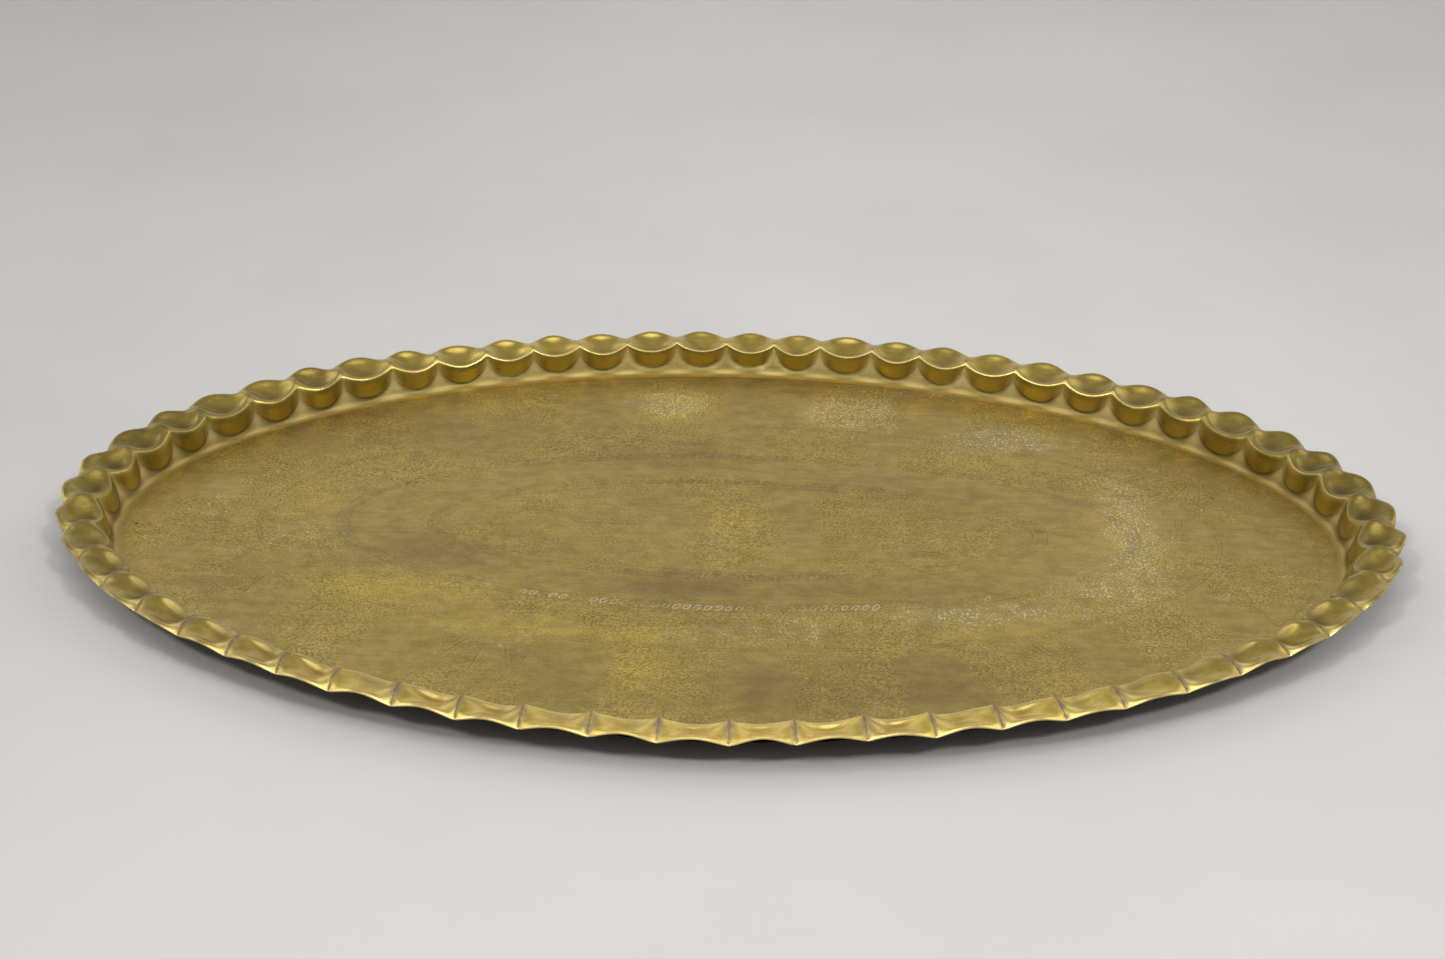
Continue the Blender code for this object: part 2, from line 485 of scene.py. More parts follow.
class Graver:
    """The cuts made so far, and the ground they have used up."""

    def __init__(self):
        self.cuts = []
        self.used = np.zeros((MAP_HALF * 2.0 * CELLS).astype(int), bool)
        self.rng = np.random.default_rng(31)
        near = range(-2, 3)
        self.reach = np.array([(i, j) for i in near for j in near if i * i + j * j <= 5])

    def cells(self, points):
        cell = np.round((points + MAP_HALF) * CELLS).astype(int)
        return np.clip(cell, 2, np.array(self.used.shape) - 3)

    def cut(self, points, width=0.95, depth=CUT_DEPTH, closed=False, least=2.6, dust=0.0):
        """Cut along the points, or along the longest part of them that is free."""
        points = np.asarray(points, float)
        points = resample(points, max(4, int(path_length(points) / STEP) + 1))
        cell = self.cells(points)
        free = ~self.used[cell[:, 0], cell[:, 1]]
        free &= ring_measure(points, FIELD, CENTRE) < 1.0
        start, stop = longest_run(free)
        if (stop - start) * STEP < least or (closed and not free.all()):
            return
        points = points[start:stop]
        cell = (cell[start:stop, None] + self.reach[None]).reshape(-1, 2)
        self.used[cell[:, 0], cell[:, 1]] = True
        self.cuts.append((points, width, depth, closed, dust))


def closed_line(graver, axes, width):
    path = ellipse(axes)
    drift = uneven(*path.T, 60.0, int(axes[0]))[:, None] * 0.25
    graver.cut(path + (path - MIDDLE) / axes * drift, width, 0.10, closed=True)


def chain(graver, axes, slant):
    """A border of small slanted oval links."""
    path = ellipse(axes)
    count = int(path_length(path) / LINK)
    path = resample(path, count + 1)
    heading = np.roll(path[:-1], -1, axis=0) - np.roll(path[:-1], 1, axis=0)
    for point, way in zip(path[:-1], heading):
        size = graver.rng.uniform(0.9, 1.06)
        oval_link = circle(13) * (3.5 * size, 1.75 * size)
        angle = atan2(way[1], way[0]) + slant + graver.rng.normal(0.0, 0.05)
        graver.cut(placed(oval_link, point, angle), 1.25, 0.2, closed=True, dust=0.5)


def leaf(graver, at, angle, length, width, veins=4):
    t = np.linspace(0.0, 1.0, 14)
    half = 0.5 * width * np.sin(pi * t ** 0.85) ** 0.9
    for side in (-1.0, 1.0):
        graver.cut(placed(np.stack([t * length, side * half], 1), at, angle))
    graver.cut(placed(((0.1 * length, 0.0), (0.84 * length, 0.0)), at, angle), 0.8, 0.13)
    for k in range(veins):
        root = (0.16 + 0.62 * k / veins) * length
        reach = 0.78 * np.interp(root / length + 0.12, t, half)
        for side in (-1.0, 1.0):
            tip = (root + 0.9 * reach, side * reach)
            graver.cut(placed(((root, 0.0), tip), at, angle), 0.75, 0.12, least=1.3)


def sprig(graver, at, angle, length, pairs, size, bend=0.0):
    """A bending stem with leaves in pairs and one at its tip."""
    t = np.linspace(0.0, 1.0, 24)
    stem = placed(np.stack([t * length, bend * length * t * t], 1), at, angle)
    graver.cut(stem, 1.0)
    last = len(stem) - 1
    for k in range(pairs):
        share = 0.10 + 0.80 * k / pairs
        joint = int(share * last)
        way = stem[min(joint + 1, last)] - stem[joint]
        heading = atan2(way[1], way[0])
        long = size * (1.0 - 0.4 * share) * graver.rng.uniform(0.9, 1.1)
        for side in (-1.0, 1.0):
            splay = heading + side * graver.rng.uniform(0.72, 0.9)
            leaf(graver, stem[joint], splay, long, long * 0.36, 3 if long < 16.0 else 5)
    tip = stem[-1] - stem[-2]
    leaf(graver, stem[-1], atan2(tip[1], tip[0]), size * 0.8, size * 0.32)


def rosette(graver, at, size, petals):
    graver.cut(at + circle(11) * size * 0.26, 0.8, closed=True)
    for k in range(petals):
        angle = tau * k / petals
        petal = circle(11) * (0.3, 0.2) * size + (0.68 * size, 0.0)
        graver.cut(placed(petal, at, angle), 0.8, closed=True)


def ground(graver, middle, reach, within, rings, dashes, heading):
    """Small rings and dashes that fill what is left between the leaves."""
    for k in range(rings + dashes):
        at = middle + graver.rng.uniform(-1.0, 1.0, 2) * reach
        if not within(at):
            continue
        if k < rings:
            graver.cut(at + circle(9) * graver.rng.uniform(0.9, 1.4), 0.6, 0.12, closed=True)
        else:
            angle = heading + graver.rng.normal(0.0, 0.7)
            half = graver.rng.uniform(0.9, 2.0)
            curl = graver.rng.uniform(-0.4, 0.4)
            dash = ((-half, 0.0), (0.0, curl), (half, 0.0))
            graver.cut(placed(dash, at, angle), 0.7, least=1.5)


def engrave():
    """All the cuts, the borders first, because a later cut gives way to an earlier one."""
    graver = Graver()
    rng = graver.rng
    for axes, lines in ((MEDALLION, ((-6.6, 1.15), (-4.4, 0.95), (4.4, 0.9))),
                        (BORDER, ((-4.6, 1.0), (4.6, 1.15))),
                        (FOLIAGE_EDGE, ((-1.3, 1.0), (1.3, 1.1)))):
        for by, width in lines:
            closed_line(graver, grown(axes, by), width)
    chain(graver, MEDALLION, 0.88)
    chain(graver, BORDER, 0.92)

    # Slanted feather strokes all round the well's edge.
    rim = resample(ellipse((422.0, 240.5), middle=np.zeros(2)), 640)
    for start, ahead in zip(rim[:-1], rim[1:]):
        angle = atan2(*(ahead - start)[::-1]) + 0.8 + rng.normal(0.0, 0.08)
        half = rng.uniform(2.2, 3.4)
        graver.cut(placed(((-half, 0.0), (0.0, 0.35), (half, 0.0)), start, angle), 0.9)

    # The medallion: an upright bush in the middle, and a spray towards each end.
    inside = grown(MEDALLION, -11.0)
    for start, angle, long in ((-50.0, 1.57, 96.0), (-48.0, 1.17, 62.0), (-48.0, 1.97, 62.0)):
        sprig(graver, (6.0, start), angle, long, 6, 25.0, 0.6 * (1.57 - angle))
    for x, angle, long in ((60.0, 0.1, 74.0), (-46.0, 3.05, 78.0)):
        sprig(graver, (x, 0.0), angle, long, 6, 24.0, 0.05)
    for x, y, angle in ((62, 34, 0.3), (66, -32, -0.3), (-50, 32, 2.8), (-52, -32, 3.5),
                        (128, 22, 0.2), (128, -22, -0.2), (-118, 22, 2.95), (-118, -22, 3.35)):
        sprig(graver, (x, y), angle, 34.0, 4, 15.0, 0.08)
    for x in (-172.0, 186.0):
        rosette(graver, np.array((x, 2.0)), 8.5, 8)

    # The foliage band: leaning sprigs with a rosette between them.
    band = resample(ellipse(np.add(BORDER, FOLIAGE_EDGE) / 2.0), 53)
    for k in range(52):
        way = band[(k + 1) % 52] - band[k - 1 if k else 51]
        heading = atan2(way[1], way[0])
        if k % 2:
            rosette(graver, band[k], 8.0, 7)
        else:
            lean = 0.45 if k % 4 else -0.45
            start = placed((-16.0, 0.0), band[k], heading + lean)
            sprig(graver, start, heading + lean, 32.0, 4, 17.0, -0.12 * np.sign(lean))

    # The clusters of the outer field, each a bush between two straight sides.
    for degrees in CLUSTERS:
        turn = radians(degrees)
        at = np.array((CLUSTER_RING[0] * cos(turn), CLUSTER_RING[1] * sin(turn)))
        outward = atan2(at[1] / CLUSTER_RING[1] ** 2, at[0] / CLUSTER_RING[0] ** 2)
        half = rng.uniform(25.0, 33.0)
        for side in (-1.0, 1.0):
            for gap in (0.0, 2.2):
                aside = side * (half + gap)
                line = placed(((-46.0, aside), (46.0, aside * 1.04)), at, outward)
                graver.cut(resample(line, 40), 0.7, 0.08)
        sprig(graver, placed((-34.0, 0.0), at, outward), outward, 58.0, 6, 22.0, 0.03)
        for side in (-1.0, 1.0):
            corner = placed((-34.0, side * 12.0), at, outward)
            sprig(graver, corner, outward + side * 0.32, 44.0, 4, 14.0, side * 0.1)

        def within(point, at=at, outward=outward, half=half):
            local = placed(point - at, (0.0, 0.0), -outward)
            return abs(local[1]) < half and ring_measure(point, FOLIAGE_EDGE) > 1.02

        ground(graver, at, 52.0, within, rings=200, dashes=1700, heading=outward + 1.4)

    # The ground between the leaves of the band and of the medallion.
    def in_band(point):
        inner = ring_measure(point, grown(BORDER, 8.0))
        outer = ring_measure(point, grown(FOLIAGE_EDGE, -4.0))
        worn = uneven(*point, 150.0, 12)
        return inner > 1.0 and outer < 1.0 and worn < 0.45

    reach = np.array(FOLIAGE_EDGE)
    ground(graver, MIDDLE, reach, in_band, rings=3000, dashes=30000, heading=0.9)

    def in_medallion(point):
        worn = uneven(*point, 90.0, 17)
        return ring_measure(point, inside) < 1.0 and worn < 0.25

    reach = np.array(inside)
    ground(graver, MIDDLE, reach, in_medallion, rings=500, dashes=6500, heading=1.2)
    return graver


# ---------------- the well
WELL_LEVEL = 1.2                    # millimetres up, at the well's edge
WELL_FLAT = (430.0, 248.0)          # the sheet is true from here out
# WELL_SHADE is where the painted shade at the far edge is darkest.
WELL_SHADE = (433.0, 250.0)         # the far edge is darkest here
FILL_EDGE = (429.0, 246.5)          # the points of the plain metal end here
FILL = 5.5                          # between the points of the plain metal
TILE = 220.0                        # the well is in 4 tiles by 2


def lie_of_well(x, y):
    """How far the beaten sheet rises and falls, in millimetres."""
    edge = ramp(np.hypot(x / WELL_FLAT[0], y / WELL_FLAT[1]), 1.0, -0.16)
    edge = edge * edge * (3.0 - 2.0 * edge)
    return edge * (0.42 * uneven(x, y, 170.0, 3) + 0.10 * uneven(x, y, 55.0, 4))


def well_normals(x, y):
    step = 0.5
    dx = (lie_of_well(x + step, y) - lie_of_well(x - step, y)) / (2.0 * step)
    dy = (lie_of_well(x, y + step) - lie_of_well(x, y - step)) / (2.0 * step)
    normal = np.stack([-dx, -dy, np.ones_like(dx)], 1)
    return normal / norm(normal, axis=1, keepdims=True)


def groove(points, width, depth, closed):
    """The plan points of one cut, its edges, and how deep each point goes."""
    spacing = 1.5 if closed and len(points) < 60 else 2.3
    count = max(4, int(round(path_length(points) / spacing)) + 1)
    path = resample(points, count)
    if closed:
        path = path[:-1]
        way = np.roll(path, -1, axis=0) - np.roll(path, 1, axis=0)
        half = np.full(len(path), width / 2.0)
    else:
        way = np.gradient(path, axis=0)
        share = np.linspace(0.0, 1.0, count)
        half = width / 2.0 * np.clip(1.7 * np.sin(pi * share ** 0.85), 0.0, 1.0)
    way /= norm(way, axis=1, keepdims=True) + 1e-9
    side = np.stack([-way[:, 1], way[:, 0]], 1) * half[:, None]
    size = len(path)
    if closed:
        rows = [path + side, path, path - side]
        deep = np.concatenate([np.zeros(size), np.full(size, depth), np.zeros(size)])
        edges = [(r * size + i, r * size + (i + 1) % size)
                 for r in range(3) for i in range(size)]
        return np.concatenate(rows), edges, deep
    inner = slice(1, -1)
    middle = size - 2
    rows = [path[:1], path[-1:], (path + side)[inner], path[inner], (path - side)[inner]]
    deep = np.zeros(2 + 3 * middle)
    deep[2 + middle:2 + 2 * middle] = depth * half[inner] / (width / 2.0)
    edges = []
    for r in range(3):
        first = 2 + r * middle
        edges.append((0, first))
        edges.extend((first + i, first + i + 1) for i in range(middle - 1))
        edges.append((first + middle - 1, 1))
    return np.concatenate(rows), edges, deep


def spread_density(used, radius):
    """How closely worked the metal is round each half-millimetre cell."""
    total = used.astype(np.float32)
    for axis in (0, 1):
        for _ in range(2):
            padded = np.concatenate([total.take([0], axis) * 0.0, total], axis)
            padded = np.cumsum(padded, axis)
            size = total.shape[axis]
            high = np.clip(np.arange(size) + radius, 0, size)
            low = np.clip(np.arange(size) - radius, 0, size)
            total = (padded.take(high, axis) - padded.take(low, axis)) / (2.0 * radius)
    return total


def well_points(graver, seam):
    """Plan points, edges between them, and each point's depth and residue."""
    rng = np.random.default_rng(77)
    count = len(seam)
    points = [seam]
    edges = [(i, (i + 1) % count) for i in range(count)]
    depth = [np.zeros(count)]
    residue = [np.zeros(count)]
    base = count
    for path, width, deep, closed, dust in graver.cuts:
        likely = 0.03 + 2.2 * patches(path[:1], POLISH)[0] ** 1.5
        small = path_length(path) < 5.0 and not closed
        left = float(rng.random() < likely) * rng.uniform(0.35, 1.0) * small
        new, links, low = groove(path, width * (1.0 + 0.5 * (left > 0.0)), deep, closed)
        low = low * np.clip(0.8 + 0.5 * uneven(*new.T, 70.0, 21), 0.3, 1.15)
        fresh = np.clip(0.75 + 0.5 * uneven(new[:, 0], new[:, 1] + 40.0, 80.0, 26), 0.0, 1.2)
        fresh = fresh * np.clip(0.85 - new[:, 1] / 160.0, 0.3, 1.5)
        left = np.maximum(left, dust * fresh)
        points.append(new)
        edges.extend((a + base, b + base) for a, b in links)
        depth.append(low)
        residue.append(left * (low > 0.0))
        base += len(new)
    across, up = np.meshgrid(np.arange(-440.0, 441.0, FILL), np.arange(-256.0, 257.0, FILL))
    fill = np.stack([across.ravel(), up.ravel()], 1)
    fill += rng.uniform(-0.3, 0.3, fill.shape) * FILL
    cell = graver.cells(fill)
    keep = ring_measure(fill, FILL_EDGE, CENTRE) < 1.0
    keep &= ~graver.used[cell[:, 0], cell[:, 1]]
    points.append(fill[keep])
    depth.append(np.zeros(keep.sum()))
    residue.append(np.zeros(keep.sum()))
    return np.concatenate(points), edges, np.concatenate(depth), np.concatenate(residue)


def build_well(material, seam):
    """The well in tiles, triangulated so that the edges and bottoms of cuts are edges."""
    graver = engrave()
    points, edges, deep, left = well_points(graver, seam[:, :2] / MM)
    vectors = [Vector(p) for p in points.tolist()]
    result = delaunay_2d_cdt(vectors, edges, [], 0, 1e-4, True)
    plan = np.array([tuple(v) for v in result[0]])
    faces = np.array([f for f in result[2] if len(f) == 3])
    depth, residue = (np.array([max((v[i] for i in ids), default=0.0) for ids in result[3]])
                      for v in (deep, left))
    corner = plan[faces]
    ab, ac = corner[:, 1] - corner[:, 0], corner[:, 2] - corner[:, 0]
    area = ab[:, 0] * ac[:, 1] - ab[:, 1] * ac[:, 0]
    faces[area < 0.0] = faces[area < 0.0][:, ::-1]
    faces = faces[np.abs(area) > 1e-5]
    height = WELL_LEVEL + lie_of_well(*plan.T) - depth
    place = np.concatenate([plan, height[:, None]], 1) * MM
    smooth = well_normals(*plan.T)
    cell = graver.cells(plan)
    worked = spread_density(graver.used, 18)[cell[:, 0], cell[:, 1]]
    tone = patches(plan, TONES)
    polish = patches(plan, POLISH)
    # Painted shade: the well gets darker towards its far edge.
    edge = ramp(ring_measure(plan, WELL_SHADE, CENTRE), 0.84, 0.14)
    edge = edge * ramp(plan[:, 1], 0.0, 160.0)
    for axes in (MEDALLION, BORDER):
        off = (ring_measure(plan, axes) - 1.0) * np.hypot(*(plan - MIDDLE).T)
        worn = 0.55 + 0.45 * uneven(*plan.T, 200.0, 61)
        tone -= 0.75 * np.clip(worn, 0.0, 1.0) * np.exp(-(off / 4.6) ** 4)
    middle = place[faces].mean(axis=1)
    column = np.clip(((middle[:, 0] / MM + 2.0 * TILE) // TILE).astype(int), 0, 3)
    tile = column + 4 * (middle[:, 1] > 0.0)
    fields = dict(worked=worked, engraved=ramp(depth, 0.0, CUT_DEPTH), residue=residue,
                  tone=tone, polish=polish, edge=edge)
    return [well_tile(f"well_{n + 1}", place, faces[tile == n], smooth, depth, fields, material)
            for n in range(8)]


def well_tile(name, place, faces, smooth, depth, fields, material):
    """One tile, with flat normals in the cuts and the sheet's own normals elsewhere."""
    used, faces = np.unique(faces, return_inverse=True)
    faces = faces.reshape(-1, 3)
    place, smooth, depth = place[used], smooth[used], depth[used]
    corner = place[faces]
    flat = np.cross(corner[:, 1] - corner[:, 0], corner[:, 2] - corner[:, 0])
    flat /= norm(flat, axis=1, keepdims=True) + 1e-20
    normals = smooth[faces]
    cut = (depth[faces] > 0.0).any(axis=1)
    normals[cut] = flat[cut][:, None]
    values = {key: value[used] for key, value in fields.items()}
    piece = smooth_piece(name, place, faces, values, material)
    piece.data.normals_split_custom_set(normals.reshape(-1, 3).tolist())
    return piece


def build_underside(material, seam_below):
    """The plain flat underside of the well, inside the rim's own underside."""
    shares = (1.0, 0.86, 0.7, 0.52, 0.34, 0.16, 1e-4)
    ring = seam_below[::4]
    ring = np.concatenate([ring, ring[:1]])
    grid = np.array([ring * (share, share, 1.0) for share in shares])
    normal = np.zeros_like(grid)
    normal[..., 2] = -1.0
    # Painted near-black as shade in the material, like the rim's lower face.
    values = {"under": 1.0, "painted_light": 1.0}
    return grid_piece("underside", [(grid, normal, True)], [values], material)


# ---------------- materials
# Linear colours of the old brass, and of the painted highlight, reflection and shade on it.
AGED = (0.44, 0.33, 0.107)
DULL = (0.50, 0.377, 0.12)
BROWN = (0.35, 0.245, 0.097)
YELLOW = (0.67, 0.51, 0.112)
TARNISH_AND_DARK_REFLECTION = (0.36, 0.265, 0.085)
RUBBED_AND_HIGHLIT = (0.82, 0.66, 0.29)
WORN = (0.62, 0.455, 0.108)
CLEAN = (0.82, 0.61, 0.13)
WARM = (0.92, 0.665, 0.112)
DARK_BROWN = (0.13, 0.085, 0.03)
BLACK = (0.03, 0.024, 0.014)
PRESSED = (0.29, 0.222, 0.152)
DUST = (0.95, 0.76, 0.31)
SHADED = (0.30, 0.222, 0.066)
DRIED = (0.62, 0.57, 0.42)
PIT = (-0.4235, -0.0165, 0.0)       # a small dark pit in the well, in metres
LACQUER = 0.16                      # how much of the rim's shine is a thin clear skin
ROUND = (1.0, 1.0, 1.0)             # the stretch of a mottle with round patches


def node(tree, kind, inputs=None, **settings):
    """A node with its settings, and its inputs given as numbers or linked sockets."""
    made = tree.nodes.new("ShaderNode" + kind)
    for key, value in settings.items():
        setattr(made, key, value)
    for key, value in (inputs or {}).items():
        socket = made.inputs[key]
        if isinstance(value, bpy.types.NodeSocket):
            tree.links.new(value, socket)
        elif socket.type == "RGBA":
            socket.default_value = (*value, 1.0)
        else:
            socket.default_value = value
    return made


def output_of(kind, *values, output=0, inputs=None, **settings):
    """The output of a node, put in the tree of whichever value is a socket."""
    inputs = dict(zip(inputs or range(len(values)), values))
    tree = next(v for v in values if isinstance(v, bpy.types.NodeSocket)).id_data
    return node(tree, kind, inputs, **settings).outputs[output]


def sums(operation, first, second, clamp=False):
    return output_of("Math", first, second, operation=operation, use_clamp=clamp)


def times(first, second):
    return sums("MULTIPLY", first, second)


def plus(first, second):
    return sums("ADD", first, second)


def blend(share, first, second, mode="MIX"):
    return output_of("Mix", share, first, second, output=2, inputs=(0, 6, 7),
                     data_type="RGBA", blend_type=mode)


def spread(value, low, high, out_low=0.0, out_high=1.0):
    """An eased step from one output to the other, as the value goes from low to high."""
    return output_of("MapRange", value, low, high, out_low, out_high,
                     interpolation_type="SMOOTHSTEP")


def scaled(colour, factor):
    """The colour times a factor."""
    return blend(1.0, colour, output_of("CombineXYZ", factor, factor, factor), "MULTIPLY")


def varied(colour, noise, least, most):
    """The colour times a factor that follows the noise."""
    return scaled(colour, spread(noise, 0.3, 0.7, least, most))


def here(tree):
    return node(tree, "TexCoord").outputs["Object"]


def mottle(tree, size, stretch, detail, roughness, shift=0.0):
    """Noise with patches about that many metres across, longer along a small stretch."""
    moved = output_of("Mapping", here(tree), (shift, 0.7 * shift, 0.3 * shift), stretch,
                      inputs=("Vector", "Location", "Scale"))
    return output_of("TexNoise", moved, 1.0 / size, detail, roughness,
                     inputs=("Vector", "Scale", "Detail", "Roughness"))


def field(tree, name):
    return node(tree, "Attribute", attribute_name=name).outputs["Fac"]


def new_material(name):
    material = bpy.data.materials.new(name)
    material.use_nodes = True
    return material, material.node_tree


def brass(name, dark, light):
    """The patina that all the brass shares: its colour and its height so far."""
    material, tree = new_material(name)
    cloud = spread(mottle(tree, 0.09, (0.5, 1.0, 1.0), 6.0, 0.62), 0.34, 0.66)
    colour = blend(cloud, dark, light)
    streak = mottle(tree, 0.0035, (0.07, 1.0, 1.0), 4.0, 0.65, 1.0)
    colour = varied(colour, streak, 0.93, 1.07)
    grain = mottle(tree, 0.0018, ROUND, 3.0, 0.7, 5.0)
    colour = varied(colour, grain, 0.94, 1.06)
    pits = output_of("TexVoronoi", here(tree), 16.0, inputs=("Vector", "Scale"), output="Distance")
    spots = times(spread(pits, 0.035, 0.015), 0.7)
    colour = blend(spots, colour, DARK_BROWN)
    height = plus(times(streak, 0.4),
                  mottle(tree, 0.012, (0.6, 1.0, 1.0), 4.0, 0.6, 7.0))
    return material, tree, colour, height


def finish(tree, colour, rough, height, metal):
    """Links what was mixed to the shader, the height as a fine bump."""
    bump = node(tree, "Bump", {"Strength": 1.0, "Distance": 0.3 * MM, "Height": height})
    shader = tree.nodes["Principled BSDF"]
    tree.links.new(colour, shader.inputs["Base Color"])
    tree.links.new(rough, shader.inputs["Roughness"])
    tree.links.new(metal, shader.inputs["Metallic"])
    tree.links.new(bump.outputs[0], shader.inputs["Normal"])


def well_brass():
    """Yellower and browner patches, dirt in the cuts, and dried white polish."""
    material, tree, colour, height = brass("brass_well", AGED, DULL)
    ragged = mottle(tree, 0.025, (0.5, 1.0, 1.0), 6.0, 0.65, 11.0)
    tone = times(field(tree, "tone"), spread(ragged, 0.3, 0.7, 0.45, 1.35))
    colour = blend(spread(tone, 0.0, 1.0, 0.0, 0.85), colour, YELLOW)
    colour = blend(spread(tone, 0.0, -1.0, 0.0, 0.85), colour, BROWN)
    blotch = mottle(tree, 0.011, (0.7, 1.0, 1.0), 5.0, 0.65, 47.0)
    colour = varied(colour, blotch, 0.86, 1.13)

    # Where it is closely worked, the metal is yellower and has a fine stipple.
    rubbed = mottle(tree, 0.06, (0.7, 1.0, 1.0), 5.0, 0.6, 41.0)
    worked = times(spread(field(tree, "worked"), 0.03, 0.60, 0.22, 1.0),
                   spread(rubbed, 0.36, 0.60, 0.25, 1.0))
    colour = blend(times(worked, 0.25), colour, YELLOW)
    # Painted shade towards the far edge.
    edge = field(tree, "edge")
    colour = scaled(colour, spread(edge, 0.0, 1.0, 1.0, 0.72))
    stipple = mottle(tree, 0.0015, (0.8, 1.0, 1.0), 3.0, 0.68, 13.0)
    speck = times(worked, spread(stipple, 0.34, 0.66, -0.38, 0.28))
    colour = scaled(colour, plus(1.0, speck))
    dirt = spread(mottle(tree, 0.02, ROUND, 3.0, 0.6, 17.0), 0.35, 0.6, 0.3, 0.75)
    colour = blend(times(field(tree, "engraved"), dirt), colour, DARK_BROWN)

    # Polish left in the cuts, and in crumbs on the metal round them.
    crumbs = spread(mottle(tree, 0.0028, ROUND, 3.0, 0.7, 19.0), 0.34, 0.52, 0.2, 1.0)
    left = times(field(tree, "residue"), crumbs)
    left = spread(left, 0.08, 0.7, 0.0, 0.85)
    clump = plus(field(tree, "polish"), mottle(tree, 0.015, ROUND, 2.0, 0.6, 59.0))
    clump = spread(clump, 0.68, 1.2, 0.0, 0.19)
    grit = plus(mottle(tree, 0.0019, (1.0, 0.8, 1.0), 1.0, 0.5, 53.0), clump)
    grit = spread(grit, 0.75, 0.84, 0.0, 0.66)
    grit = sums("MAXIMUM", grit, times(clump, 0.5))
    left = sums("MAXIMUM", left, grit)
    colour = blend(left, colour, DRIED)

    far = output_of("VectorMath", here(tree), PIT, output="Value", operation="DISTANCE")
    colour = blend(spread(far, 0.0022, 0.0012, 0.0, 0.9), colour, BLACK)
    even = mottle(tree, 0.03, (0.4, 1.0, 1.0), 4.0, 0.6, 2.0)
    rough = plus(spread(even, 0.3, 0.7, 0.36, 0.47), times(left, 0.3))
    rough = plus(rough, times(edge, 0.12))
    height = plus(height, times(times(stipple, worked), 0.8))
    finish(tree, colour, rough, height, sums("SUBTRACT", 1.0, left))
    return material


def rim_brass():
    """Rubbed crests with a painted highlight, tarnished hollows with a painted dark reflection at
    the near corners, dusty notches and grey pressed folds, under painted light and shade, and
    painted near-black as shade beneath.
    """
    material, tree, colour, height = brass("brass_rim", WORN, CLEAN)
    worn = spread(mottle(tree, 0.007, ROUND, 5.0, 0.65, 23.0), 0.35, 0.65)
    colour = scaled(colour, spread(worn, 0.0, 1.0, 0.92, 1.08))
    # Tarnish in the hollows, and at the near corners a painted dark reflection.
    hollow = field(tree, "hollow")
    colour = blend(times(hollow, 0.95), colour, TARNISH_AND_DARK_REFLECTION)
    colour = blend(times(field(tree, "wall"), 0.8), colour, WARM)
    dusty = times(field(tree, "valley"), 0.75)
    colour = blend(dusty, colour, DUST)
    # The crest and lip rubbed bright, with a painted highlight.
    colour = blend(times(field(tree, "crest"), 0.8), colour, RUBBED_AND_HIGHLIT)
    # Painted light and shade over the whole rim, the pressed flats too.
    painted_light = field(tree, "painted_light")
    colour = scaled(colour, painted_light)

    # The web has its own colour, darkened by the same painted light and shade, which becomes the
    # well's at the seam.
    web = field(tree, "web")
    low = scaled(blend(dusty, SHADED, DUST), plus(0.3, times(painted_light, 0.95)))
    colour = blend(web, colour, blend(field(tree, "seam"), low, DULL))
    # A broken dark line along the foot and sides of each wall.
    patchy = spread(mottle(tree, 0.02, ROUND, 4.0, 0.6, 43.0), 0.3, 0.6, 0.35, 0.9)
    colour = blend(times(field(tree, "foot"), patchy), colour, DARK_BROWN)

    fold = mottle(tree, 0.003, (1.0, 0.5, 1.0), 4.0, 0.7, 27.0)
    pressed = times(field(tree, "facet"), spread(fold, 0.35, 0.6, 0.35, 0.95))
    colour = blend(pressed, colour, scaled(PRESSED, painted_light))
    # A dark line along the middle of each fold, stronger on the near side.
    colour = blend(times(field(tree, "crease"), 0.6), colour, DARK_BROWN)
    # Painted shade: the rim's lower face and the underside are painted near-black.
    under = field(tree, "under")
    colour = blend(times(under, 0.96), colour, BLACK)
    rough = spread(mottle(tree, 0.03, ROUND, 4.0, 0.6, 2.0), 0.3, 0.7, 0.27, 0.38)
    rough = plus(rough, times(pressed, 0.25))
    rough = plus(rough, times(hollow, 0.22))
    rough = plus(rough, times(sums("MAXIMUM", dusty, web), 0.2))
    rough = plus(rough, times(under, 0.25))
    metal = sums("SUBTRACT", 1.0, times(pressed, 0.3))
    finish(tree, colour, rough, height, metal)
    shader = tree.nodes["Principled BSDF"]
    lacquer = sums("SUBTRACT", LACQUER, times(hollow, LACQUER), True)
    tree.links.new(lacquer, shader.inputs["Coat Weight"])
    shader.inputs["Coat Roughness"].default_value = 0.22
    return material


def paper_floor():
    """A plain pale floor, a little darker to the left and right as painted shade, with a faint
    tooth.
    """
    data = bpy.data.meshes.new("floor")
    far = 30.0
    corners = [(-far, -far, 0), (far, -far, 0), (far, far, 0), (-far, far, 0)]
    data.from_pydata(corners, [], [(0, 1, 2, 3)])
    floor = bpy.data.objects.new("floor", data)
    bpy.context.scene.collection.objects.link(floor)
    material, tree = new_material("paper")
    shader = tree.nodes["Principled BSDF"]
    shader.inputs["Roughness"].default_value = 0.85
    soft = spread(mottle(tree, 0.35, ROUND, 4.0, 0.6, 31.0), 0.3, 0.7)
    colour = blend(soft, (0.632, 0.625, 0.603), (0.668, 0.660, 0.636))
    across = output_of("SeparateXYZ", here(tree))
    # Painted shade: darker towards the left and the right.
    colour = scaled(colour, spread(across, -0.9, 0.15, 0.85, 1.0))
    colour = scaled(colour, spread(across, 0.2, 0.9, 1.0, 0.93))
    tree.links.new(colour, shader.inputs["Base Color"])
    bump = node(tree, "Bump", {"Strength": 0.35, "Distance": 0.0006,
                               "Height": mottle(tree, 0.012, (0.4, 1.0, 1.0), 5.0, 0.65, 37.0)})
    tree.links.new(bump.outputs[0], shader.inputs["Normal"])
    data.materials.append(material)


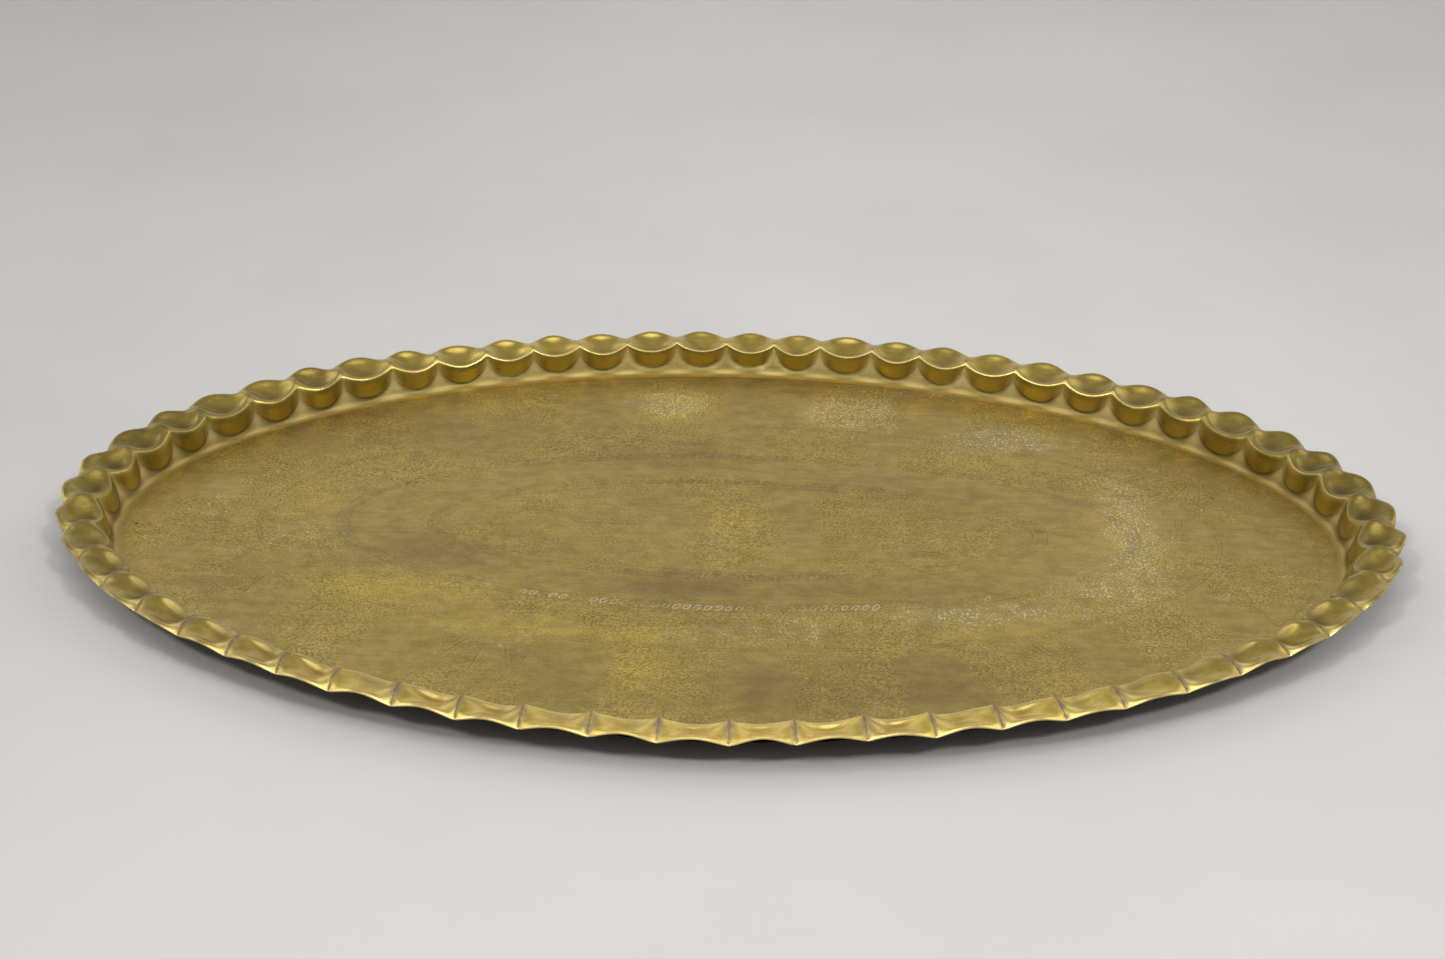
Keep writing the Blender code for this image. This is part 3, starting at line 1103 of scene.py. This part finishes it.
def area_light(name, place, size, power):
    """A soft rectangular light that faces the middle of the tray."""
    data = bpy.data.lights.new(name, "AREA")
    data.shape = "RECTANGLE"
    data.size, data.size_y = size
    data.energy = power
    light = bpy.data.objects.new(name, data)
    bpy.context.scene.collection.objects.link(light)
    light.location = place
    light.rotation_euler = (-Vector(place)).to_track_quat("-Z", "Y").to_euler()


def camera():
    azimuth, elevation, roll = (radians(a) for a in (-1.94, 28.59, 0.66))
    look = Vector((sin(azimuth) * cos(elevation),
                   cos(azimuth) * cos(elevation), -sin(elevation)))
    target = Vector((-0.0053, 0.0761, 0.0))
    distance = 1.5192
    data = bpy.data.cameras.new("camera")
    data.sensor_width = 36.0
    data.lens = 50.2
    data.clip_start = 0.01
    eye = bpy.data.objects.new("camera", data)
    bpy.context.scene.collection.objects.link(eye)
    turn = look.to_track_quat("-Z", "Y").to_matrix() @ Matrix.Rotation(roll, 3, "Z")
    eye.matrix_world = Matrix.Translation(target - look * distance) @ turn.to_4x4()
    bpy.context.scene.camera = eye


def surroundings():
    """A pale wall behind, a dim room in front, two soft glows, and three soft lights."""
    world = bpy.data.worlds.new("world")
    world.use_nodes = True
    tree = world.node_tree
    view = node(tree, "TexCoord").outputs["Generated"]
    way = node(tree, "SeparateXYZ", {0: view})
    wall = spread(way.outputs[1], -0.2, 0.6, 0.06, 0.84)
    up = spread(way.outputs[2], 0.05, 0.85)
    wall = times(wall, sums("SUBTRACT", 1.0, up))
    strength = plus(wall, times(up, 0.44))
    for side in (-0.72, 0.72):
        along = output_of("VectorMath", view, (side, 0.36, 0.59), output="Value",
                          operation="DOT_PRODUCT")
        strength = plus(strength, spread(along, 0.94, 0.995, 0.0, 1.5))
    back = tree.nodes["Background"]
    back.inputs["Color"].default_value = (1.0, 0.985, 0.965, 1.0)
    tree.links.new(strength, back.inputs["Strength"])
    bpy.context.scene.world = world
    area_light("overhead", (0.0, -0.5, 2.3), (2.0, 1.1), 13.0)
    area_light("left", (-1.7, -1.8, 2.85), (0.55, 0.45), 27.0)
    area_light("right", (1.7, -1.8, 2.85), (0.55, 0.45), 31.0)


def main():
    rim, well = rim_brass(), well_brass()
    pieces, seam, seam_below = build_rim(rim)
    pieces.extend(build_well(well, seam))
    pieces.append(build_underside(rim, seam_below))
    for piece in pieces:
        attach(piece, "root")
        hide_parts(NODE)
    paper_floor()
    surroundings()
    camera()
    bpy.context.scene.view_settings.view_transform = "Standard"


main()
